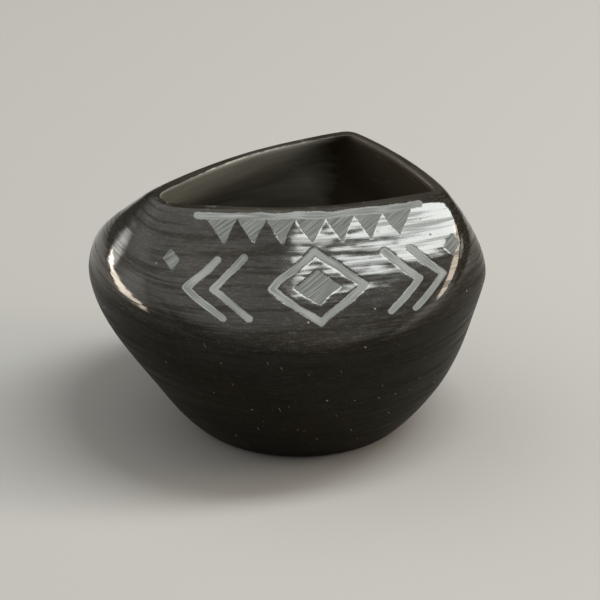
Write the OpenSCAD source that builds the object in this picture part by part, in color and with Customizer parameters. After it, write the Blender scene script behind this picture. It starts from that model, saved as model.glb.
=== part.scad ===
// Small coil-built bowl with a round belly and a three-sided mouth.
// A pressed base carries four wall coils, two shoulder coils and a rim coil, luted on bevelled seams.
// Millimetres, +Z up, origin at the centre of the flat foot, front towards -Y.

/* [Body] */
// Height from the foot to the top of the lip
height = 45.5; // [41:0.5:56]
// Diameter of the round belly at its widest line
belly_d = 70.5; // [64:0.5:84]
// Height of the belly's widest line
belly_h = 29.5; // [27:0.5:34]
// Diameter of the flat foot
foot_d = 37; // [28:1:44]
// Fullness of the wall below the belly: 1 is a straight cone, 2 a quarter ellipse
fullness = 1.3; // [1.2:0.02:1.8]
// Sideways swing of the hand-built wall, greatest half way up
sway_x = -2; // [-4:0.1:4]
// Swing of the wall to the back, greatest half way up
sway_y = -0.8; // [-4:0.1:4]

/* [Mouth] */
// Front panel: distance from the axis at the lip
front_reach = 15; // [12:0.5:20]
// Front panel: lean from upright
front_lean_angle = 51; // [30:0.5:55]
// Front panel: direction that it faces
front_turn_angle = -83; // [-95:1:-70]
// Left back panel: distance from the axis at the lip
left_reach = 15; // [13:0.5:22]
// Left back panel: lean from upright
left_lean_angle = 49; // [25:0.5:55]
// Left back panel: direction that it faces
left_turn_angle = 128; // [115:1:145]
// Right back panel: distance from the axis at the lip
right_reach = 21; // [16:0.5:25]
// Right back panel: lean from upright
right_lean_angle = 34.5; // [25:0.5:50]
// Right back panel: direction that it faces
right_turn_angle = 31; // [15:1:45]
// Flatness of the panels: 1 is flat, less bows them outwards
flatness = 0.86; // [0.7:0.01:1]
// Distance from the axis that a corner may reach at the lip
corner_reach = 27; // [24:0.5:32]
// Sharpness of the corners outside
outer_corner_power = 22; // [14:1:30]
// Sharpness of the corners inside
inner_corner_power = 34; // [22:1:44]

/* [Wall] */
// Thickness of the wall at the belly, measured level
wall = 3.8; // [2.5:0.1:4.6]
// Thickness of the wall at the lip, measured level
rim_wall = 2.8; // [2.2:0.1:4]
// Thickness of the floor over the foot
floor_t = 4; // [3:0.25:5]
// Diameter of the flat floor inside
floor_d = 34; // [28:1:38]
// Height of the lip's rounded edges
lip_h = 1; // [0.5:0.1:2]
// Width of the lip's rounded edges, outside and inside
lip_w = 0.9; // [0.4:0.1:1]

/* [Coils] */
// Height of the base's outer edge
base_h = 7.5; // [7:0.25:9]
// Height of the rim coil
rim_h = 4; // [3:0.25:5]
// Drop of a seam's bevel from the outside to the inside
seam_drop = 1.5; // [0.5:0.1:1.8]

/* [Hidden] */
// Coils from the base to the belly, and from the belly to the rim coil
wall_coils = 4;
shoulder_coils = 2;

// Facets round the bowl, rings up one coil, rings over each edge of the lip, steps in the base's profile
sides = 96;
coil_rings = 3;
lip_rings = 4;
base_steps = 10;
// Turn of the lip's rounded edges, from the wall to the flat top
edge_angle = 90;
// The corners fall in slowly above the belly and faster near the lip
corner_fall = 2;

clay = "#23201e";
clay_inside = "#2b2724";

belly_r = belly_d / 2;
panels = [
    [front_turn_angle, front_reach, front_lean_angle],
    [left_turn_angle, left_reach, left_lean_angle],
    [right_turn_angle, right_reach, right_lean_angle]
];

// Height on the outside of the seam over wall coil i, where 0 is the base's edge, and over shoulder coil i
function wall_seam(i) = base_h + (belly_h - base_h) * i / wall_coils;
function shoulder_seam(i) = belly_h + (height - rim_h - belly_h) * i / shoulder_coils;

// Share of a wall's full swell at height share t, from 0 at the foot to 1 at the belly
function swell(t) = pow(max(0, 1 - pow(1 - t, fullness)), 1 / fullness);

// Thickness of the wall at height z, which thins from the belly to the lip
function wall_at(z) = wall + (rim_wall - wall) * max(0, z - belly_h) / (height - belly_h);

// Radius of the round body at height z, outside and inside
function below(z, low_z, low_r, top_r) = low_r + (top_r - low_r) * swell((z - low_z) / (belly_h - low_z));
function above(z) = belly_r - (belly_r - corner_reach) * pow((z - belly_h) / (height - belly_h), corner_fall);
function round_r(z) = z < belly_h ? below(z, 0, foot_d / 2, belly_r) : above(z);
function hollow_r(z) = z < belly_h ? below(z, floor_t, floor_d / 2, belly_r - wall) : above(z) - wall_at(z);

// Angle a brought into the half turn each side of 0
function half_turn(a) = a - 360 * floor((a + 180) / 360);

// How strongly panel p holds the wall in at angle a and height z
function pull(p, a, z, inset) =
    max(0, cos(flatness * half_turn(a - p[0]))) / (p[1] + (height - z) * tan(p[2]) - inset);

// Radius where the round body and the three panels are blended, with sharper corners for a higher power
function blend_r(round, a, z, inset, power) =
    pow(pow(1 / round, power) + sum_pull(a, z, inset, power), -1 / power);
function sum_pull(a, z, inset, power, i = 0) =
    i == len(panels) ? 0 : pow(pull(panels[i], a, z, inset), power) + sum_pull(a, z, inset, power, i + 1);

// The wall stands straight on the base, swings out and comes back under the lip
function sway(z) = pow(sin(180 * max(0, z - base_h) / (height - base_h)), 2);
function place(r, a, z) = [r * cos(a) + sway_x * sway(z), r * sin(a) + sway_y * sway(z), z];

function outer_r(a, z) = blend_r(round_r(z), a, z, 0, outer_corner_power);
function inner_r(a, z) = blend_r(hollow_r(z), a, z, wall_at(z), inner_corner_power);

function angle(k) = 360 * k / sides;
function outer_ring(z) = [for (k = [0:sides - 1]) place(outer_r(angle(k), z), angle(k), z)];
function inner_ring(z) = [for (k = [0:sides - 1]) place(inner_r(angle(k), z), angle(k), z)];

// Rings from height a to height b, outside going up and inside going down
function outer_rings(a, b) = [for (j = [0:coil_rings]) outer_ring(a + (b - a) * j / coil_rings)];
function inner_rings(a, b) = [for (j = [0:coil_rings]) inner_ring(b + (a - b) * j / coil_rings)];

// Rings over the lip's outer edge going up, and over its inner edge going down
function lip_z(f) = height - lip_h * (1 - sin(f));
function lip_inset(f) = lip_w * (1 - cos(f));
function outer_lip(f) =
    [for (k = [0:sides - 1]) place(outer_r(angle(k), lip_z(f)) - lip_inset(f), angle(k), lip_z(f))];
function inner_lip(f) =
    [for (k = [0:sides - 1]) place(inner_r(angle(k), lip_z(f)) + lip_inset(f), angle(k), lip_z(f))];
function outer_lip_rings() = [for (j = [1:lip_rings]) outer_lip(edge_angle * j / lip_rings)];
function inner_lip_rings() = [for (j = [lip_rings:-1:1]) inner_lip(edge_angle * j / lip_rings)];

// One closed solid from rings that go round a wall's section and come back to the first.
// The closing band, the lower seam, is split along the diagonals of the seam that it meets.
module ring_solid(rings) {
    count = len(rings);
    points = [for (ring = rings) each ring];
    faces = [
        for (j = [0:count - 1])
            for (k = [0:sides - 1])
                let (up = (j + 1) % count, on = (k + 1) % sides)
                let (a = j * sides + k, b = j * sides + on, c = up * sides + on, d = up * sides + k)
                each j < count - 1 ? [[a, d, c], [a, c, b]] : [[a, d, b], [d, c, b]]
    ];
    polyhedron(points, faces, convexity = 6);
}

// Base pressed out in one piece: flat foot, flaring wall, bevelled edge and flat floor
module base_pat() {
    seat_z = base_h - seam_drop;
    outside = [
        for (j = [0:base_steps])
            let (z = base_h * pow(j / base_steps, fullness))
            [round_r(z), z]
    ];
    inside = [
        for (j = [base_steps:-1:0])
            let (z = floor_t + (seat_z - floor_t) * pow(j / base_steps, fullness))
            [hollow_r(z), z]
    ];
    color(clay)
        rotate_extrude($fn = sides)
            polygon(concat([[0, 0]], outside, inside, [[0, floor_t]]));
}

// A coil pinched and scraped to the wall's thickness, between two bevelled seams
module coil(low, high) {
    color(clay)
        ring_solid(concat(outer_rings(low, high), inner_rings(low - seam_drop, high - seam_drop)));
}

// Wall coil i below the belly's widest line
module wall_coil(i) {
    coil(wall_seam(i - 1), wall_seam(i));
}

// Shoulder coil i, pressed in to the three panels
module shoulder_coil(i) {
    coil(shoulder_seam(i - 1), shoulder_seam(i));
}

// Last coil, which takes the three-sided mouth and its lip
module rim_coil() {
    low = shoulder_seam(shoulder_coils);
    high = height - lip_h;
    outside = concat(outer_rings(low, high), outer_lip_rings());
    inside = concat(inner_lip_rings(), inner_rings(low - seam_drop, high));
    color(clay_inside)
        ring_solid(concat(outside, inside));
}

base_pat();
for (i = [1:wall_coils]) {
    wall_coil(i);
}
for (i = [1:shoulder_coils]) {
    shoulder_coil(i);
}
rim_coil();
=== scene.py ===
"""A small coil-built bowl in burnished blackware: its form, its finish, the light and the camera.

Lengths are millimetres and angles are degrees, unless a name says otherwise. The meshes are made in metres,
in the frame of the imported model: +Z up, the origin at the centre of the foot, the front towards -Y.
"""

import math
from collections import namedtuple

import bpy
import numpy as np
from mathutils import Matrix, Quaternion, Vector


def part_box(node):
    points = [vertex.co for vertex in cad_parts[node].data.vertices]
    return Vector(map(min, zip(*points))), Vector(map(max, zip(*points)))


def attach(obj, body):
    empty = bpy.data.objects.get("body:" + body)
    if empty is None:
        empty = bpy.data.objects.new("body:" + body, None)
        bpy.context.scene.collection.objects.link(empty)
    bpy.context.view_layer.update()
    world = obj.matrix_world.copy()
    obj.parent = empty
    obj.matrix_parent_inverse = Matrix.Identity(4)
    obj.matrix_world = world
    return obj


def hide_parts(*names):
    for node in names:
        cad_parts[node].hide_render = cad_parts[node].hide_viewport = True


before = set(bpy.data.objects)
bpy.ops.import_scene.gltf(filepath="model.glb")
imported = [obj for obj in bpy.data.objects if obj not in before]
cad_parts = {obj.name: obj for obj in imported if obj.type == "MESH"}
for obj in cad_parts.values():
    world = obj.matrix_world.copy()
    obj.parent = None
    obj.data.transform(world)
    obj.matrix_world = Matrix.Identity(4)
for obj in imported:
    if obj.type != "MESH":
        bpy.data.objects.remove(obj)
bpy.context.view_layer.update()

MM = 0.001

# Courses of clay from the foot to the lip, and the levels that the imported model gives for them
WALL_COILS = [f"wall_coil_{i}" for i in (1, 2, 3, 4)]
SHOULDER_COILS = [f"shoulder_coil_{i}" for i in (1, 2)]
COILS = WALL_COILS + SHOULDER_COILS
TOPS = {name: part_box(name)[1].z / MM for name in ["base_pat", *COILS, "rim_coil"]}
HEIGHT = TOPS["rim_coil"]
BASE_EDGE = TOPS["base_pat"]
BELLY_LEVEL = TOPS[WALL_COILS[-1]]
SEAM_DROP = TOPS[SHOULDER_COILS[-1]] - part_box("rim_coil")[0].z / MM

# Sizes of the form, as in the model's source, but with the lip's inner edge worn rounder
FLOOR_LEVEL = 4.0
FULLNESS = 1.3
LIP_RISE = 1.0
LIP_ROUND = 0.9
INNER_LIP_RISE = 1.7
INNER_LIP_ROUND = 1.5
FRONT_TURN = -83.0
FRONT_LEAN = 51.0
FORM = {
    "Height": HEIGHT,
    "Base edge": BASE_EDGE,
    "Belly level": BELLY_LEVEL,
    "Belly radius": 35.25,
    "Foot radius": 18.5,
    "Floor radius": 17.0,
    "Floor level": FLOOR_LEVEL,
    "Fullness": FULLNESS,
    "Sway right": -2.0,
    "Sway back": -0.8,
    "Corner reach": 27.0,
    "Corner fall": 2.0,
    "Flatness": 0.86,
    "Outer corner power": 22.0,
    "Inner corner power": 34.0,
    "Wall at belly": 3.8,
    "Wall at lip": 2.8,
    "Front turn": math.radians(FRONT_TURN),
    "Front reach": 15.0,
    "Front lean": math.radians(FRONT_LEAN),
    "Left back turn": math.radians(128.0),
    "Left back reach": 15.0,
    "Left back lean": math.radians(49.0),
    "Right back turn": math.radians(31.0),
    "Right back reach": 21.0,
    "Right back lean": math.radians(34.5),
    "Scraped off": 0.03,
    "Hand wobble": 0.16,
    "Wobble length": 15.0,
    "Line half width": 0.64,
    "Fill spread": 0.2,
    "Groove depth": 0.015,
    "Shake": 0.9,
    "Shake length": 5.0,
}
PANELS = ["Front", "Left back", "Right back"]

# The foot is even up to this level, and the grooves have a soft edge. The design ends where the clay no
# longer faces out of the front panel, by a distance that no mark reaches
EVEN_FOOT = 2.0
GROOVE_EDGE = 0.15
PANEL_EDGE = (0.25, 0.4)
OUT_OF_REACH = 10.0

# Mesh spacing: close over the front panel, which carries the scratched design, and wider elsewhere
FRONT_HALF_TURN = 64.0
FRONT_TURN_STEP = 0.5
BACK_TURN_STEP = 1.25
SHOULDER_STEP = 0.17
WALL_STEP = 0.4
INSIDE_STEP = 0.6
BASE_ROWS = 16
LIP_ROWS = 8
FLAT_ROWS = 7

# Photograph's view: 27 degrees above the table, through a long lens
CAMERA_RISE = 27.0
CAMERA_REACH = 542.7
CAMERA_AIM = (0.2, 8.9, 17.5)
CAMERA_LENS = 180.0
CAMERA_SENSOR = 36.0

# Node kinds that are used most, and the soft step between two values
MATH = "ShaderNodeMath"
VECTOR = "ShaderNodeVectorMath"
NOISE = "ShaderNodeTexNoise"
RANGE = "ShaderNodeMapRange"
MIX = "ShaderNodeMix"
SEPARATE = "ShaderNodeSeparateXYZ"
ATTRIBUTE = "ShaderNodeAttribute"
SMOOTH = "SMOOTHSTEP"


def linear(colour):
    """Linear RGBA of an sRGB hex colour."""
    parts = [int(colour[i:i + 2], 16) / 255 for i in (1, 3, 5)]
    return [p / 12.92 if p <= 0.04045 else ((p + 0.055) / 1.055) ** 2.4 for p in parts] + [1.0]


def add(tree, kind, *inputs, named=None, **settings):
    """Add one node. Inputs are values, nodes or sockets, in the order of the sockets in use or by name."""
    node = tree.nodes.new(kind)
    for name, value in settings.items():
        setattr(node, name, value)
    pairs = list(zip([socket for socket in node.inputs if socket.enabled], inputs))
    pairs += [(node.inputs[name], value) for name, value in (named or {}).items()]
    for socket, value in pairs:
        if isinstance(value, bpy.types.Node):
            value = next(output for output in value.outputs if output.enabled)
        if isinstance(value, bpy.types.NodeSocket):
            tree.links.new(value, socket)
        elif value is not None:
            socket.default_value = value
    return node


# Camera
def photo_camera():
    """The photograph's camera, which looks down on the front panel and into the mouth."""
    camera = bpy.data.objects.new("photo_camera", bpy.data.cameras.new("photo_camera"))
    camera.data.sensor_width = CAMERA_SENSOR
    camera.data.lens = CAMERA_LENS
    rise = math.radians(CAMERA_RISE)
    camera.location = Vector((0, -math.cos(rise), math.sin(rise))) * CAMERA_REACH * MM
    aim = Vector(CAMERA_AIM) * MM
    camera.rotation_euler = (aim - camera.location).to_track_quat("-Z", "Y").to_euler()
    bpy.context.scene.collection.objects.link(camera)
    bpy.context.scene.camera = camera


# Light and floor
Lamp = namedtuple("Lamp", "shape turn rise reach width height roll watts colour")
LAMPS = {
    "window_softbox": Lamp("RECTANGLE", 92.6, 64.6, 1070.0, 240.0, 890.0, 15.2, 8.1, "#fbfffb"),
    "left_strip": Lamp("ELLIPSE", -105.0, 1.5, 900.0, 860.0, 80.0, -7.5, 1.5, "#fff0dc"),
    "right_strip": Lamp("ELLIPSE", 88.0, 29.0, 900.0, 240.0, 640.0, -38.0, 2.9, "#ffecd6"),
}
BOWL_MIDDLE = Vector((0, 0, 30.0)) * MM

# Pale patches of the room: the middle's place, how far from it the patch ends and is full, and its light
Patch = namedtuple("Patch", "turn rise end full light")
ROOM = {
    "ceiling": Patch(-104.0, 57.0, 56.0, 28.0, 0.82),
    "left_window": Patch(-127.0, 7.5, 8.5, 2.0, 3.4),
    "left_glow": Patch(-100.0, 2.0, 22.0, 2.0, 0.7),
    "left_wall": Patch(-72.0, 8.0, 18.0, 5.0, 0.35),
    "front_wall": Patch(-10.0, 8.0, 75.0, 35.0, 0.13),
    "right_window": Patch(105.0, 22.0, 7.0, 3.0, 2.5),
    "side_wall": Patch(72.0, 4.0, 28.0, 10.0, 1.0),
    "right_ceiling": Patch(64.0, 48.0, 38.0, 14.0, 0.35),
}
ROOM_LIGHT = 0.05
ROOM_COLOUR = "#fffcf6"
FLOOR_COLOUR = "#b6b5b3"
FLOOR_ROUGHNESS = 0.9
FLOOR_SIDE = 6000.0


def direction(turn, rise):
    """Unit vector from the bowl: turn is to the right of the camera's side, rise is above the table."""
    turn = math.radians(turn)
    rise = math.radians(rise)
    return Vector((math.sin(turn) * math.cos(rise), -math.cos(turn) * math.cos(rise), math.sin(rise)))


def studio():
    """Large soft lamps round the bowl, a dim room with pale patches and a plain pale floor."""
    for name, lamp in LAMPS.items():
        light = bpy.data.lights.new(name, "AREA")
        light.shape = lamp.shape
        light.size = lamp.width * MM
        light.size_y = lamp.height * MM
        light.energy = lamp.watts
        light.color = linear(lamp.colour)[:3]
        way = direction(lamp.turn, lamp.rise)
        holder = bpy.data.objects.new(name, light)
        holder.location = BOWL_MIDDLE + way * lamp.reach * MM
        roll = Quaternion((0, 0, 1), math.radians(lamp.roll))
        holder.rotation_euler = (way.to_track_quat("Z", "Y") @ roll).to_euler()
        bpy.context.scene.collection.objects.link(holder)

    world = bpy.data.worlds.new("room")
    world.use_nodes = True
    tree = world.node_tree
    tree.nodes.clear()
    way = add(tree, "ShaderNodeTexCoord").outputs["Generated"]
    glow = ROOM_LIGHT
    for patch in ROOM.values():
        near = add(tree, VECTOR, way, direction(patch.turn, patch.rise), operation="DOT_PRODUCT")
        near = near.outputs["Value"]
        edges = [math.cos(math.radians(edge)) for edge in (patch.end, patch.full)]
        pale = add(tree, RANGE, near, *edges, 0.0, patch.light, interpolation_type=SMOOTH)
        glow = add(tree, MATH, pale, glow, operation="ADD")
    room = add(tree, "ShaderNodeBackground", linear(ROOM_COLOUR), glow)
    add(tree, "ShaderNodeOutputWorld", room)
    bpy.context.scene.world = world

    # Matte paint gives the floor an even pale grey without gloss
    half = FLOOR_SIDE / 2 * MM
    corners = [(-half, -half, 0), (half, -half, 0), (half, half, 0), (-half, half, 0)]
    mesh = bpy.data.meshes.new("floor")
    mesh.from_pydata(corners, [], [(0, 1, 2, 3)])
    paint = bpy.data.materials.new("matte_paint")
    paint.use_nodes = True
    paint.node_tree.nodes["Principled BSDF"].inputs["Base Color"].default_value = linear(FLOOR_COLOUR)
    paint.node_tree.nodes["Principled BSDF"].inputs["Roughness"].default_value = FLOOR_ROUGHNESS
    mesh.materials.append(paint)
    floor = bpy.data.objects.new("floor", mesh)
    bpy.context.scene.collection.objects.link(floor)


# Finish: how long and wide its marks are, or how far apart
STROKE_LENGTH = 13.0
STROKE_WIDTH = 1.1
RUB_LENGTH = 14.0
RUB_WIDTH = 0.32
DUST_LENGTH = 1.6
DUST_WIDTH = 0.26
CLOUD = 11.0
SPECK_SPACING = 1.6
SCUFF_LENGTH = 1.7
SCUFF_WIDTH = 0.25
SCUFF_TURN = math.radians(68.0)
DENT = 3.2
CHIP = 3.4
GRIT = 0.45
# The point's marks are really finer than this, and are drawn as coarse as they need to be to show
SCRATCH_LENGTH = 7.0
SCRATCH_WIDTH = 0.36
HATCH_TURN = math.radians(38.0)

# Where the polish and the dust come in, by the upward part of the clay's normal
SHOULDER_SLOPES = (0.08, 0.44)
WALL_SLOPES = (-0.45, -0.1)
DUST_SLOPES = (-0.1, 0.4)

# Where the inside darkens with painted shade, by depth under the lip and how far right it lies, where the
# polish stops inside, and the foot's rubbed levels
PAINTED_SHADE_DEPTHS = (7.0, 25.0)
UNRUBBED_DEPTHS = (8.0, 26.0)
PAINTED_SHADE_SIDE = (-3.0, 9.0)
FOOT_RUB = (0.1, 1.4)

# Edges of the scratched marks, of the slip and of the wear on the lip, and how ragged they are
LINE_EDGE = (0.06, 0.2)
LINE_RAGGED = 0.24
FILL_EDGE = (0.06, 0.22)
FILL_RAGGED = 0.3
SLIP_EDGE = (0.46, 0.9)
SLIP_RAGGED = 0.8
LIP_EDGE = (0.1, 0.4)
LIP_RAGGED = 0.6

# Share of a full polish: over the shoulder and on the wall, and what is left of it where it is worn
SHOULDER_POLISH = 0.82
WALL_POLISH = (0.05, 0.18)
MISSED_POLISH = 0.3
LIP_POLISH = 0.6
INSIDE_POLISH = 0.4

# How strongly the marks show, the dust's share on the wall, and what random mottling adds to the inside's
# painted shade
DUST_SHOWS = 0.15
GRAIN_SHOWS = 0.08
SCUFF_SHOWS = 0.7
MISSED_SHOWS = 0.75
WALL_DUST = 0.36
MOTTLE = (-0.07, 0.2)

# Gloss of the polish, and the clay's own under it
POLISH_IOR = 1.65
POLISH_ROUGHNESS = 0.08
SLIP_IOR = 1.1
SLIP_HAZE = (0.36, 0.5)
INSIDE_HAZE = 0.65
SCRATCHED_HAZE = 0.8

# Height of the relief
STREAK_RELIEF = 0.032
FINGER_RELIEF = 0.017
RUB_RELIEF = 0.0015
DENT_RELIEF = 0.03
GRIT_RELIEF = 0.0006
POINT_RELIEF = 0.05
SPECK_RELIEF = -0.02

# Colours, from dark to light where there are two
SLIP_COLOURS = ("#17150f", "#26221a")
GRAIN_COLOUR = "#8d867e"
LIP_COLOUR = "#393530"
FOOT_COLOUR = "#2f2a26"
# The inside's pale colour is painted light on the wall under the lip, and its dark one is painted shade
INSIDE_SHADE_AND_LIGHT_COLOURS = ("#665e53", "#e8ede6")
FILL_COLOURS = ("#626564", "#8c908f")
LINE_COLOURS = ("#787b7a", "#9fa3a2")


def stone_burnished_blackware():
    """Clay under black slip, rubbed with a smooth stone and fired in smoke.

    It gives the eye a near-black, slightly brown gloss with level streaks from the stone, strongest on the
    shoulder, pale specks where grit shows, an inside that turns matte downwards and whose colour is painted
    light near the lip and painted shade low down and on its right, a worn lip and foot, and matte grey
    where a design is scratched through the polish.
    """
    material = bpy.data.materials.new("stone_burnished_blackware")
    material.use_nodes = True
    tree = material.node_tree
    tree.nodes.clear()
    spot = add(tree, VECTOR, add(tree, "ShaderNodeTexCoord").outputs["Object"], 1 / MM, operation="SCALE")
    right, _, level = add(tree, SEPARATE, spot).outputs
    normal = add(tree, "ShaderNodeNewGeometry").outputs["Normal"]
    faces_up = add(tree, SEPARATE, normal).outputs["Z"]
    past_lip = add(tree, ATTRIBUTE, attribute_name="past_lip_mm").outputs["Fac"]
    panel = add(tree, ATTRIBUTE, attribute_name="panel_mm").outputs["Vector"]
    stroke = add(tree, ATTRIBUTE, attribute_name="stroke_mm").outputs["Vector"]
    to_line = add(tree, SEPARATE, stroke).outputs["Z"]
    to_fill = add(tree, ATTRIBUTE, attribute_name="fill_mm").outputs["Fac"]

    # Long marks: level streaks of the burnishing stone, its finer rubbing, dust, and those of the point
    long_marks = []
    for place, length, width, detail, roughness in (
            (spot, STROKE_LENGTH, STROKE_WIDTH, 1.0, 0.5), (spot, RUB_LENGTH, RUB_WIDTH, 2.0, 0.6),
            (spot, DUST_LENGTH, DUST_WIDTH, 2.0, 0.7), (stroke, SCRATCH_LENGTH, SCRATCH_WIDTH, 2.0, 0.6)):
        drawn_out = add(tree, VECTOR, place, (1 / length, 1 / length, 1 / width), operation="MULTIPLY")
        long_marks.append(add(tree, NOISE, drawn_out, 1.0, detail, roughness))
    streak, rub, dust, line_marks = long_marks

    # Clouds of the smoke firing and fine grit
    cloud = add(tree, NOISE, spot, 1 / CLOUD, 3.0, 0.55)
    grit = add(tree, NOISE, spot, 1 / GRIT, 2.0, 0.6)

    # Fine pale scratches and grain, most on the shoulder
    dust = add(tree, RANGE, dust, 0.52, 0.74, 0.0, DUST_SHOWS)
    grain = add(tree, RANGE, grit, 0.54, 0.72, 0.0, GRAIN_SHOWS)
    dust = add(tree, MATH, dust, grain, operation="ADD")
    dusty = add(tree, RANGE, faces_up, *DUST_SLOPES, WALL_DUST, 1.0)
    dust = add(tree, MATH, dust, dusty, operation="MULTIPLY")

    # Scratched lines carry the marks of the point along them, and filled shapes are hatched slantwise
    line_marks = add(tree, RANGE, line_marks, 0.34, 0.66, 0.0, 1.0)
    hatch = add(tree, "ShaderNodeMapping", panel, None, (0.0, 0.0, HATCH_TURN),
                (SCRATCH_LENGTH, SCRATCH_WIDTH, 1.0), vector_type="TEXTURE")
    fill_marks = add(tree, NOISE, hatch, 1.0, 2.0, 0.6)
    fill_marks = add(tree, RANGE, fill_marks, 0.34, 0.66, 0.0, 1.0)
    line = add(tree, MATH, grit, LINE_RAGGED, to_line, operation="MULTIPLY_ADD")
    line = add(tree, RANGE, line, *LINE_EDGE, 1.0, 0.0, interpolation_type=SMOOTH)
    fill = add(tree, MATH, grit, FILL_RAGGED, to_fill, operation="MULTIPLY_ADD")
    fill = add(tree, RANGE, fill, *FILL_EDGE, 1.0, 0.0, interpolation_type=SMOOTH)
    etched = add(tree, MATH, line, fill, operation="MAXIMUM")

    # Pale specks of grit in the slip, on some of the cells, and short scuffs
    cells = add(tree, "ShaderNodeTexVoronoi", spot, 1 / SPECK_SPACING)
    draw = add(tree, "ShaderNodeSeparateColor", cells.outputs["Color"]).outputs["Red"]
    size = add(tree, RANGE, draw, 0.78, 1.0, 0.0, 0.14)
    speck = add(tree, MATH, cells.outputs["Distance"], size, operation="LESS_THAN")
    slant = add(tree, "ShaderNodeMapping", spot, None, (0.0, SCUFF_TURN, 0.0),
                (SCUFF_LENGTH, SCUFF_LENGTH, SCUFF_WIDTH), vector_type="TEXTURE")
    scuff = add(tree, RANGE, add(tree, NOISE, slant, 1.0, 0.0), 0.83, 0.87, 0.0, SCUFF_SHOWS)
    on_wall = add(tree, MATH, faces_up, 0.0, operation="LESS_THAN")
    scuff = add(tree, MATH, scuff, on_wall, operation="MULTIPLY")
    speck = add(tree, MATH, speck, scuff, operation="MAXIMUM")

    # Ragged edge of the slip at the lip, and the inside's painted shade: darker low down and on its right,
    # mottled at random
    ragged = add(tree, NOISE, spot, 1 / CHIP, 4.0, 0.7)
    ragged = add(tree, MATH, ragged, SLIP_RAGGED, past_lip, operation="MULTIPLY_ADD")
    inside = add(tree, RANGE, ragged, *SLIP_EDGE, 0.0, 1.0, interpolation_type=SMOOTH)
    lip = add(tree, MATH, streak, LIP_RAGGED, past_lip, operation="MULTIPLY_ADD")
    lip = add(tree, RANGE, lip, *LIP_EDGE, 0.0, 1.0, interpolation_type=SMOOTH)
    painted_shade = add(tree, RANGE, past_lip, *PAINTED_SHADE_DEPTHS, 0.0, 1.0, interpolation_type=SMOOTH)
    painted_shade_right = add(tree, RANGE, right, *PAINTED_SHADE_SIDE, 0.0, 1.0, interpolation_type=SMOOTH)
    painted_shade = add(tree, MATH, painted_shade, painted_shade_right, operation="MAXIMUM")
    mottle = add(tree, MATH, cloud, streak, operation="ADD")
    mottle = add(tree, RANGE, mottle, 0.7, 1.3, *MOTTLE)
    painted_shade = add(tree, MATH, painted_shade, mottle, operation="ADD", use_clamp=True)

    # Where the stone reached: all over the shoulder but for the bands that it missed, less on the wall and
    # the lip, and a little way inside
    polish = add(tree, RANGE, faces_up, *SHOULDER_SLOPES, 0.0, SHOULDER_POLISH, interpolation_type=SMOOTH)
    wiped = add(tree, RANGE, faces_up, *WALL_SLOPES, *WALL_POLISH, interpolation_type=SMOOTH)
    polish = add(tree, MATH, polish, wiped, operation="ADD")
    missed = add(tree, MATH, rub, streak, operation="ADD")
    missed = add(tree, RANGE, missed, 0.95, 1.2, 0.0, MISSED_SHOWS, interpolation_type=SMOOTH)
    unrubbed = add(tree, RANGE, past_lip, *UNRUBBED_DEPTHS, 0.0, 1.0, interpolation_type=SMOOTH)
    foot = add(tree, RANGE, level, *FOOT_RUB, 1.0, 0.0, interpolation_type=SMOOTH)
    worn_places = [(missed, MISSED_POLISH), (lip, LIP_POLISH), (inside, INSIDE_POLISH)]
    worn_places += [(bare, 0.0) for bare in (unrubbed, foot, etched, speck)]
    for worn, left in worn_places:
        polish = add(tree, MIX, worn, polish, add(tree, MATH, polish, left, operation="MULTIPLY"))

    # Colour
    slip = add(tree, MIX, cloud, *map(linear, SLIP_COLOURS), data_type="RGBA")
    slip = add(tree, MIX, dust, slip, linear(GRAIN_COLOUR), data_type="RGBA")
    slip = add(tree, MIX, lip, slip, linear(LIP_COLOUR), data_type="RGBA")
    # The inside's colour: painted light near the lip, painted shade low down and on the right
    clay = add(tree, MIX, painted_shade, *map(linear, reversed(INSIDE_SHADE_AND_LIGHT_COLOURS)), data_type="RGBA")
    slip = add(tree, MIX, inside, slip, clay, data_type="RGBA")
    slip = add(tree, MIX, foot, slip, linear(FOOT_COLOUR), data_type="RGBA")
    slip = add(tree, MIX, speck, slip, linear(GRAIN_COLOUR), data_type="RGBA")
    filled = add(tree, MIX, fill_marks, *map(linear, FILL_COLOURS), data_type="RGBA")
    lined = add(tree, MIX, line_marks, *map(linear, LINE_COLOURS), data_type="RGBA")
    colour = add(tree, MIX, fill, slip, filled, data_type="RGBA")
    colour = add(tree, MIX, line, colour, lined, data_type="RGBA")

    # Haze under the polish
    haze = add(tree, RANGE, streak, 0.3, 0.7, *SLIP_HAZE)
    haze = add(tree, MIX, inside, haze, INSIDE_HAZE)
    haze = add(tree, MIX, etched, haze, SCRATCHED_HAZE)

    # Relief in millimetres: the streaks, which wet fingers leave deeper inside, then the finer marks
    relief = add(tree, MATH, inside, FINGER_RELIEF, STREAK_RELIEF, operation="MULTIPLY_ADD")
    relief = add(tree, MATH, streak, relief, operation="MULTIPLY")
    dents = add(tree, NOISE, spot, 1 / DENT, 1.0, 0.5)
    point = add(tree, MIX, line, fill_marks, line_marks)
    point = add(tree, MATH, point, 0.5, operation="SUBTRACT")
    point = add(tree, MATH, point, etched, operation="MULTIPLY")
    finer = [(rub, RUB_RELIEF), (dents, DENT_RELIEF), (grit, GRIT_RELIEF), (point, POINT_RELIEF)]
    for mark, height in (*finer, (speck, SPECK_RELIEF)):
        relief = add(tree, MATH, mark, height, relief, operation="MULTIPLY_ADD")
    bump = add(tree, "ShaderNodeBump", named={"Strength": 1.0, "Distance": MM, "Height": relief})

    shader = add(tree, "ShaderNodeBsdfPrincipled", named={
        "Base Color": colour, "Roughness": haze, "IOR": SLIP_IOR, "Normal": bump, "Coat Weight": polish,
        "Coat Roughness": POLISH_ROUGHNESS, "Coat IOR": POLISH_IOR, "Coat Normal": bump})
    add(tree, "ShaderNodeOutputMaterial", shader)
    return material


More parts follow.
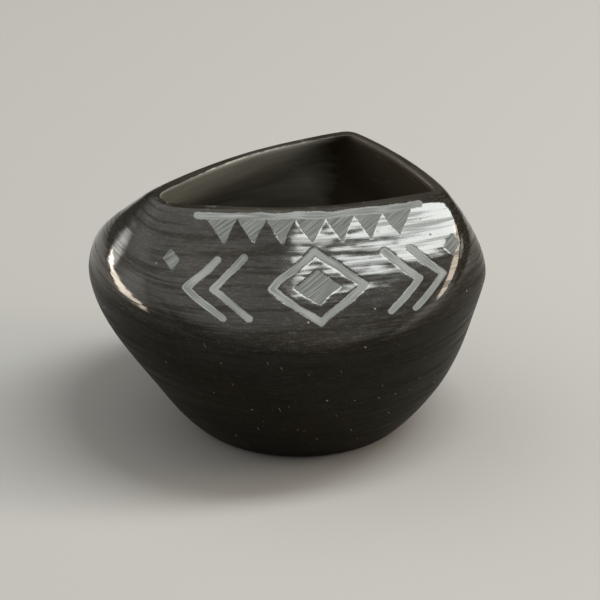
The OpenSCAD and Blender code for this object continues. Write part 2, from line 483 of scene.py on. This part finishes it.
# Scratched design, in millimetres right of the panel's middle and up its slope from the lip
RIM_LINE = (19.0, -1.1)
TEETH = 7
TOOTH_WIDTH = 5.0
TOOTH_GAP = 0.3
TOOTH_TOP = -1.9
TOOTH_POINT = -6.0
DIAMOND_MIDDLE = -14.6
DIAMOND_HALF = (8.0, 6.6)
KERNEL_HALF = (3.6, 3.0)
CHEVRON_HALF = (5.5, 5.6)
CHEVRON_STARTS = (12.0, 16.4)
SIDE_DIAMOND = (24.0, -9.5)
SIDE_DIAMOND_HALF = (1.3, 1.9)


def diamond(right, up, half):
    """Corners of an upright diamond."""
    return [(right + half[0], up), (right, up + half[1]), (right - half[0], up), (right, up - half[1])]


def design_shapes():
    """Lines and filled shapes of a plain mirrored border: teeth under the lip, a diamond and chevrons."""
    lines = [[(-RIM_LINE[0], RIM_LINE[1]), RIM_LINE]]
    frame_line = diamond(0, DIAMOND_MIDDLE, DIAMOND_HALF)
    lines.append(frame_line + frame_line[:1])
    fills = [diamond(0, DIAMOND_MIDDLE, KERNEL_HALF)]
    for tooth in range(TEETH):
        left = (tooth - TEETH / 2) * TOOTH_WIDTH
        fills.append([(left + TOOTH_GAP, TOOTH_TOP), (left + TOOTH_WIDTH / 2, TOOTH_POINT),
                      (left + TOOTH_WIDTH - TOOTH_GAP, TOOTH_TOP)])
    for side in (-1, 1):
        for start in CHEVRON_STARTS:
            tip = start + CHEVRON_HALF[0]
            lines.append([(side * start, DIAMOND_MIDDLE + CHEVRON_HALF[1]), (side * tip, DIAMOND_MIDDLE),
                          (side * start, DIAMOND_MIDDLE - CHEVRON_HALF[1])])
        fills.append(diamond(side * SIDE_DIAMOND[0], SIDE_DIAMOND[1], SIDE_DIAMOND_HALF))
    return lines, fills


def design_object(name, shapes, filled):
    """One mesh of the shapes, flat in the design's own plane, with one unit to the millimetre."""
    points = []
    edges = []
    faces = []
    for shape in shapes:
        first = len(points)
        points += [(right, up, 0.0) for right, up in shape]
        order = list(range(first, len(points)))
        if filled:
            faces.append(order)
        else:
            edges += zip(order[:-1], order[1:])
    mesh = bpy.data.meshes.new(name)
    mesh.from_pydata(points, edges, faces)
    design = bpy.data.objects.new(name, mesh)
    bpy.context.scene.collection.objects.link(design)
    return design


# Form
Row = namedtuple("Row", "level inside lip_step spread")


def form_tree(material, line_design, fill_design):
    """Geometry Nodes tree of the bowl: a round belly that three panels draw in to a three-sided mouth.

    Each point carries its turn round the axis, its level, whether it is inside (0 outside, 1 inside), its
    step off the wall over the lip's round edges, and its spread from the axis on the flat foot and floor.
    """
    tree = bpy.data.node_groups.new("bowl_form", "GeometryNodeTree")
    tree.interface.new_socket("Geometry", in_out="INPUT", socket_type="NodeSocketGeometry")
    tree.interface.new_socket("Geometry", in_out="OUTPUT", socket_type="NodeSocketGeometry")
    settings = {}
    for name, value in FORM.items():
        socket = tree.interface.new_socket(name, in_out="INPUT", socket_type="NodeSocketFloat")
        settings[socket.identifier] = value
    for name, design in (("Lines", line_design), ("Fills", fill_design)):
        socket = tree.interface.new_socket(name, in_out="INPUT", socket_type="NodeSocketObject")
        settings[socket.identifier] = design
    socket = tree.interface.new_socket("Finish", in_out="INPUT", socket_type="NodeSocketMaterial")
    settings[socket.identifier] = material
    given = add(tree, "NodeGroupInput").outputs
    turn, level, inside, lip_step, spread = (
        add(tree, "GeometryNodeInputNamedAttribute", name) for name in ("turn", *Row._fields))

    # Wall thickness, which thins from the belly to the lip
    drop = add(tree, MATH, given["Height"], level, operation="SUBTRACT")
    shoulder = add(tree, MATH, given["Height"], given["Belly level"], operation="SUBTRACT")
    over_belly = add(tree, MATH, level, given["Belly level"], operation="SUBTRACT")
    rise = add(tree, MATH, over_belly, shoulder, operation="DIVIDE", use_clamp=True)
    wall = add(tree, MIX, rise, given["Wall at belly"], given["Wall at lip"])
    inset = add(tree, MATH, wall, inside, operation="MULTIPLY")

    # Round body: from the foot or the floor out to the belly
    bottom = add(tree, MATH, inside, given["Floor level"], operation="MULTIPLY")
    bottom_radius = add(tree, MIX, inside, given["Foot radius"], given["Floor radius"])
    over_bottom = add(tree, MATH, level, bottom, operation="SUBTRACT")
    bottom_to_belly = add(tree, MATH, given["Belly level"], bottom, operation="SUBTRACT")
    climb = add(tree, MATH, over_bottom, bottom_to_belly, operation="DIVIDE", use_clamp=True)
    left_over = add(tree, MATH, 1.0, climb, operation="SUBTRACT")
    left_over = add(tree, MATH, left_over, given["Fullness"], operation="POWER")
    swell = add(tree, MATH, 1.0, left_over, operation="SUBTRACT")
    root = add(tree, MATH, 1.0, given["Fullness"], operation="DIVIDE")
    swell = add(tree, MATH, swell, root, operation="POWER")
    belly_radius = add(tree, MATH, given["Belly radius"], inset, operation="SUBTRACT")
    body = add(tree, MIX, swell, bottom_radius, belly_radius)

    # Above the belly the corners come in slowly at first and faster near the lip
    fall = add(tree, MATH, rise, given["Corner fall"], operation="POWER")
    corner = add(tree, MATH, given["Belly radius"], given["Corner reach"], operation="SUBTRACT")
    fall = add(tree, MATH, fall, corner, operation="MULTIPLY")
    body = add(tree, MATH, body, fall, operation="SUBTRACT")

    # The body and the panels each hold the wall in, and a high power makes sharp corners between them
    power = add(tree, MIX, inside, given["Outer corner power"], given["Inner corner power"])
    hold = add(tree, MATH, given["Belly radius"], body, operation="DIVIDE")
    hold = add(tree, MATH, hold, power, operation="POWER")
    for panel in PANELS:
        off = add(tree, MATH, turn, given[panel + " turn"], operation="SUBTRACT")
        off = add(tree, MATH, off, math.pi, -math.pi, operation="WRAP")
        off = add(tree, MATH, off, given["Flatness"], operation="MULTIPLY")
        facing = add(tree, MATH, off, operation="COSINE")
        facing = add(tree, MATH, facing, 0.0, operation="MAXIMUM")
        facing = add(tree, MATH, facing, given["Belly radius"], operation="MULTIPLY")
        slope = add(tree, MATH, given[panel + " lean"], operation="TANGENT")
        reach = add(tree, MATH, drop, slope, given[panel + " reach"], operation="MULTIPLY_ADD")
        reach = add(tree, MATH, reach, inset, operation="SUBTRACT")
        pull = add(tree, MATH, facing, reach, operation="DIVIDE")
        pull = add(tree, MATH, pull, power, operation="POWER")
        hold = add(tree, MATH, hold, pull, operation="ADD")
    root = add(tree, MATH, -1.0, power, operation="DIVIDE")
    radius = add(tree, MATH, hold, root, operation="POWER")
    radius = add(tree, MATH, radius, given["Belly radius"], operation="MULTIPLY")
    radius = add(tree, MATH, radius, spread, lip_step, operation="MULTIPLY_ADD")

    # The wall stands straight on the base, swings out and comes back under the lip
    over_base = add(tree, MATH, level, given["Base edge"], operation="SUBTRACT")
    base_to_lip = add(tree, MATH, given["Height"], given["Base edge"], operation="SUBTRACT")
    share = add(tree, MATH, over_base, base_to_lip, operation="DIVIDE", use_clamp=True)
    swing = add(tree, MATH, share, math.pi, operation="MULTIPLY")
    swing = add(tree, MATH, swing, operation="SINE")
    swing = add(tree, MATH, swing, swing, operation="MULTIPLY")
    right = add(tree, MATH, radius, add(tree, MATH, turn, operation="COSINE"), operation="MULTIPLY")
    right = add(tree, MATH, swing, given["Sway right"], right, operation="MULTIPLY_ADD")
    back = add(tree, MATH, radius, add(tree, MATH, turn, operation="SINE"), operation="MULTIPLY")
    back = add(tree, MATH, swing, given["Sway back"], back, operation="MULTIPLY_ADD")
    place = add(tree, "ShaderNodeCombineXYZ", right, back, level)
    place = add(tree, VECTOR, place, MM, operation="SCALE")
    clay = add(tree, "GeometryNodeSetPosition", given["Geometry"], None, place)

    # Place on the front panel, right of its middle and up its slope from the lip, shaken as by a hand
    spot = add(tree, VECTOR, add(tree, "GeometryNodeInputPosition"), 1 / MM, operation="SCALE")
    turn_angle = math.radians(FRONT_TURN)
    lean_angle = math.radians(FRONT_LEAN)
    front = Vector((math.cos(turn_angle), math.sin(turn_angle), 0))
    panel_right = Vector((-front.y, front.x, 0))
    panel_up = Vector((0, 0, math.cos(lean_angle))) - front * math.sin(lean_angle)
    panel_out = panel_right.cross(panel_up)
    along = add(tree, VECTOR, spot, panel_right, operation="DOT_PRODUCT").outputs["Value"]
    up = add(tree, MATH, drop, -1 / math.cos(lean_angle), operation="MULTIPLY")
    panel = add(tree, "ShaderNodeCombineXYZ", along, up, 0.0)
    shake_scale = add(tree, MATH, 1.0, given["Shake length"], operation="DIVIDE")
    shake = add(tree, NOISE, spot, shake_scale, 1.0, 0.5).outputs["Color"]
    shake = add(tree, VECTOR, shake, (0.5, 0.5, 0.5), operation="SUBTRACT")
    shake = add(tree, VECTOR, shake, (1.0, 1.0, 0.0), operation="MULTIPLY")
    shake = add(tree, VECTOR, shake, given["Shake"], operation="SCALE")
    drawn = add(tree, VECTOR, panel, shake, operation="ADD")

    # Distance from the scratched lines and filled shapes, negative within them, and far off the front panel
    normal = add(tree, "GeometryNodeInputNormal")
    facing = add(tree, VECTOR, normal, panel_out, operation="DOT_PRODUCT").outputs["Value"]
    far = add(tree, RANGE, facing, *PANEL_EDGE, OUT_OF_REACH, 0.0)
    far = add(tree, MATH, inside, OUT_OF_REACH, far, operation="MULTIPLY_ADD")
    lines = add(tree, "GeometryNodeObjectInfo", given["Lines"]).outputs["Geometry"]
    line = add(tree, "GeometryNodeProximity", lines, None, drawn, target_element="EDGES")
    to_line = add(tree, MATH, line.outputs["Distance"], given["Line half width"], operation="SUBTRACT")
    to_line = add(tree, MATH, to_line, far, operation="ADD")
    stroke = add(tree, SEPARATE, line.outputs["Position"])
    stroke = add(tree, "ShaderNodeCombineXYZ", stroke.outputs["X"], stroke.outputs["Y"], to_line)
    fills = add(tree, "GeometryNodeObjectInfo", given["Fills"]).outputs["Geometry"]
    fill = add(tree, "GeometryNodeProximity", fills, None, drawn, target_element="FACES")
    to_fill = add(tree, MATH, fill.outputs["Distance"], given["Fill spread"], operation="SUBTRACT")
    to_fill = add(tree, MATH, to_fill, far, operation="ADD")
    etched = add(tree, MATH, to_line, to_fill, operation="MINIMUM")

    # The hand's slight unevenness and the scratched grooves both take clay off, and the foot stays flat
    wobble_scale = add(tree, MATH, 1.0, given["Wobble length"], operation="DIVIDE")
    wobble = add(tree, NOISE, spot, wobble_scale, 1.0, 0.5)
    depth = add(tree, MATH, wobble, given["Hand wobble"], given["Scraped off"], operation="MULTIPLY_ADD")
    over_foot = add(tree, RANGE, level, 0.0, EVEN_FOOT, 0.0, 1.0, interpolation_type=SMOOTH)
    depth = add(tree, MATH, depth, over_foot, operation="MULTIPLY")
    edges = (-GROOVE_EDGE, GROOVE_EDGE)
    deepest = given["Groove depth"]
    groove = add(tree, RANGE, etched, *edges, deepest, 0.0, interpolation_type=SMOOTH)
    depth = add(tree, MATH, depth, groove, operation="ADD")
    depth = add(tree, MATH, depth, -MM, operation="MULTIPLY")
    shift = add(tree, VECTOR, normal, depth, operation="SCALE")
    stored = {"fill_mm": to_fill, "stroke_mm": stroke, "panel_mm": panel}
    for name, value in stored.items():
        kind = "FLOAT" if name == "fill_mm" else "FLOAT_VECTOR"
        clay = add(tree, "GeometryNodeStoreNamedAttribute", clay, None, name, value, data_type=kind)
    clay = add(tree, "GeometryNodeSetPosition", clay, None, None, shift)
    clay = add(tree, "GeometryNodeRealizeInstances", clay)
    clay = add(tree, "GeometryNodeSetMaterial", clay, None, given["Finish"])
    add(tree, "NodeGroupOutput", clay)
    return tree, settings


def levels(low, high, step):
    """Levels from low to high, about a step apart."""
    return np.linspace(low, high, math.ceil(abs(high - low) / step) + 1)


def bowl_rows():
    """Rows from the foot's centre up the outside, over the lip and down the inside to the floor's centre.

    It also gives the first and the last row of each course of clay, outside and inside.
    """
    rows = [Row(0.0, 0.0, 0.0, i / FLAT_ROWS) for i in range(FLAT_ROWS + 1)]
    outside = {}
    within = {}

    def climb(name, heights, inside, spans):
        """Add one course's rows on one side, and keep its first and last row."""
        first = len(rows) - 1
        rows.extend(Row(height, inside, 0.0, 1.0) for height in heights[1:])
        spans[name] = (first, len(rows) - 1)

    shares = (np.arange(BASE_ROWS + 1) / BASE_ROWS) ** FULLNESS
    climb("base_pat", BASE_EDGE * shares, 0.0, outside)
    low = BASE_EDGE
    for name in COILS:
        step = SHOULDER_STEP if name in SHOULDER_COILS else WALL_STEP
        climb(name, levels(low, TOPS[name], step), 0.0, outside)
        low = TOPS[name]
    climb("rim_coil", levels(low, HEIGHT - LIP_RISE, SHOULDER_STEP), 0.0, outside)

    arc = [math.pi / 2 * i / LIP_ROWS for i in range(LIP_ROWS + 1)]
    falls = [(1 - math.sin(f), 1 - math.cos(f)) for f in arc]
    rows.extend(Row(HEIGHT - LIP_RISE * down, 0.0, -LIP_ROUND * off, 1.0) for down, off in falls[1:])
    falls.reverse()
    rows.extend(Row(HEIGHT - INNER_LIP_RISE * down, 1.0, INNER_LIP_ROUND * off, 1.0) for down, off in falls)

    high = HEIGHT - INNER_LIP_RISE
    for name, below in zip(["rim_coil", *reversed(COILS)], [*reversed(COILS), "base_pat"]):
        climb(name, levels(high, TOPS[below] - SEAM_DROP, INSIDE_STEP), 1.0, within)
        high = TOPS[below] - SEAM_DROP
    climb("base_pat", FLOOR_LEVEL + (high - FLOOR_LEVEL) * shares[::-1], 1.0, within)
    rows.extend(Row(FLOOR_LEVEL, 1.0, 0.0, 1 - i / FLAT_ROWS) for i in range(1, FLAT_ROWS + 1))
    return rows, outside, within


def bowl_turns():
    """Turns of the columns round the axis, close together over the front panel."""
    front = np.arange(-FRONT_HALF_TURN, FRONT_HALF_TURN, FRONT_TURN_STEP)
    rest = 360 - 2 * FRONT_HALF_TURN
    back = FRONT_HALF_TURN + rest * np.arange(0, 1, BACK_TURN_STEP / rest)
    return np.radians(FRONT_TURN + np.concatenate([front, back]))


def band(grid, low, high):
    """Faces between two rows of the grid, which are triangles where one row is a pole."""
    corners = [grid[low], np.roll(grid[low], -1), np.roll(grid[high], -1), grid[high]]
    if grid[low][0] == grid[low][1]:
        corners = corners[1:]
    elif grid[high][0] == grid[high][1]:
        corners = corners[:3]
    return np.stack(corners, 1).tolist()


def whole_bowl(rows, turns, grid, material):
    """The whole bowl as one closed skin, shaped by its Geometry Nodes tree."""
    row_of = np.zeros(grid.max() + 1, int)
    column_of = np.zeros(grid.max() + 1, int)
    row_of[grid] = np.arange(len(rows))[:, None]
    column_of[grid] = np.arange(len(turns))[None, :]
    table = np.array(rows)[row_of]
    past_lip = (HEIGHT - table[:, 0]) * np.where(table[:, 1] > 0.5, 1, -1)

    mesh = bpy.data.meshes.new("bowl")
    faces = [face for i in range(len(rows) - 1) for face in band(grid, i, i + 1)]
    mesh.from_pydata(np.zeros((len(table), 3)).tolist(), [], faces)
    values = {"turn": turns[column_of], "past_lip_mm": past_lip}
    values.update(zip(Row._fields, table.T))
    for name, value in values.items():
        mesh.attributes.new(name, "FLOAT", "POINT").data.foreach_set("value", value.astype(np.float32))

    lines, fills = design_shapes()
    line_design = design_object("scratched_lines", lines, False)
    fill_design = design_object("scratched_fills", fills, True)
    tree, settings = form_tree(material, line_design, fill_design)
    bowl = bpy.data.objects.new("bowl", mesh)
    bpy.context.scene.collection.objects.link(bowl)
    form = bowl.modifiers.new("bowl_form", "NODES")
    form.node_group = tree
    for identifier, value in settings.items():
        form[identifier] = value
    shaped = bpy.data.meshes.new_from_object(bowl.evaluated_get(bpy.context.evaluated_depsgraph_get()))
    bowl.modifiers.remove(form)
    for helper in (bowl, line_design, fill_design):
        bpy.data.objects.remove(helper)
    return shaped


def course_piece(node, loop, seams, grid, skin):
    """One course of clay cut from the whole skin between its bevelled seams, with the skin's normals.

    The loop is the course's rows in order round its section, and the seams are pairs of rows to join.
    """
    places = np.zeros((len(skin.vertices), 3), np.float32)
    skin.vertices.foreach_get("co", places.ravel())
    normals = np.zeros_like(places)
    skin.vertices.foreach_get("normal", normals.ravel())

    skin_faces = [face for low, high in zip(loop, loop[1:]) if (low, high) not in seams
                  for face in band(grid, low, high)]
    seam_faces = [face for low, high in seams for face in band(grid, low, high)]
    faces = skin_faces + seam_faces
    used, corners = np.unique(np.concatenate(faces), return_inverse=True)
    starts = np.cumsum([0] + [len(face) for face in faces])
    mesh = bpy.data.meshes.new(f"{node}_clay")
    mesh.from_pydata(places[used].tolist(), [], [corners[a:b].tolist() for a, b in zip(starts, starts[1:])])
    for name in ("past_lip_mm", "fill_mm", "stroke_mm", "panel_mm"):
        source = skin.attributes[name]
        field, width = ("value", 1) if source.data_type == "FLOAT" else ("vector", 3)
        value = np.zeros((len(skin.vertices), width), np.float32)
        source.data.foreach_get(field, value.ravel())
        mesh.attributes.new(name, source.data_type, "POINT").data.foreach_set(field, value[used].ravel())

    split = [normals[v] for face in skin_faces for v in face]
    for polygon in list(mesh.polygons)[len(skin_faces):]:
        split += [polygon.normal] * polygon.loop_total
    mesh.polygons.foreach_set("use_smooth", [True] * len(mesh.polygons))
    mesh.normals_split_custom_set(split)
    mesh.materials.append(skin.materials[0])

    piece = bpy.data.objects.new(f"{node}_clay", mesh)
    bpy.context.scene.collection.objects.link(piece)
    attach(piece, "root")
    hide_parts(node)


def bowl():
    """The bowl's eight courses of clay, cut at their seams from one smooth skin."""
    rows, outside, within = bowl_rows()
    turns = bowl_turns()
    ring = np.arange(len(turns))
    grid = np.stack([1 + i * len(turns) + ring for i in range(len(rows) - 2)])
    grid = np.vstack([np.zeros_like(ring), grid, np.full_like(ring, grid.max() + 1)])
    skin = whole_bowl(rows, turns, grid, stone_burnished_blackware())

    outer_end, inner_start = outside["base_pat"][1], within["base_pat"][0]
    loop = [*range(outer_end + 1), *range(inner_start, len(rows))]
    course_piece("base_pat", loop, [(outer_end, inner_start)], grid, skin)
    for node in COILS:
        (outer_start, outer_end), (inner_start, inner_end) = outside[node], within[node]
        loop = [*range(outer_start, outer_end + 1), *range(inner_start, inner_end + 1)]
        course_piece(node, loop, [(outer_end, inner_start), (inner_end, outer_start)], grid, skin)
    outer_start, inner_end = outside["rim_coil"][0], within["rim_coil"][1]
    course_piece("rim_coil", [*range(outer_start, inner_end + 1)], [(inner_end, outer_start)], grid, skin)
    bpy.data.meshes.remove(skin)


bpy.context.scene.view_settings.view_transform = "Standard"
photo_camera()
studio()
bowl()
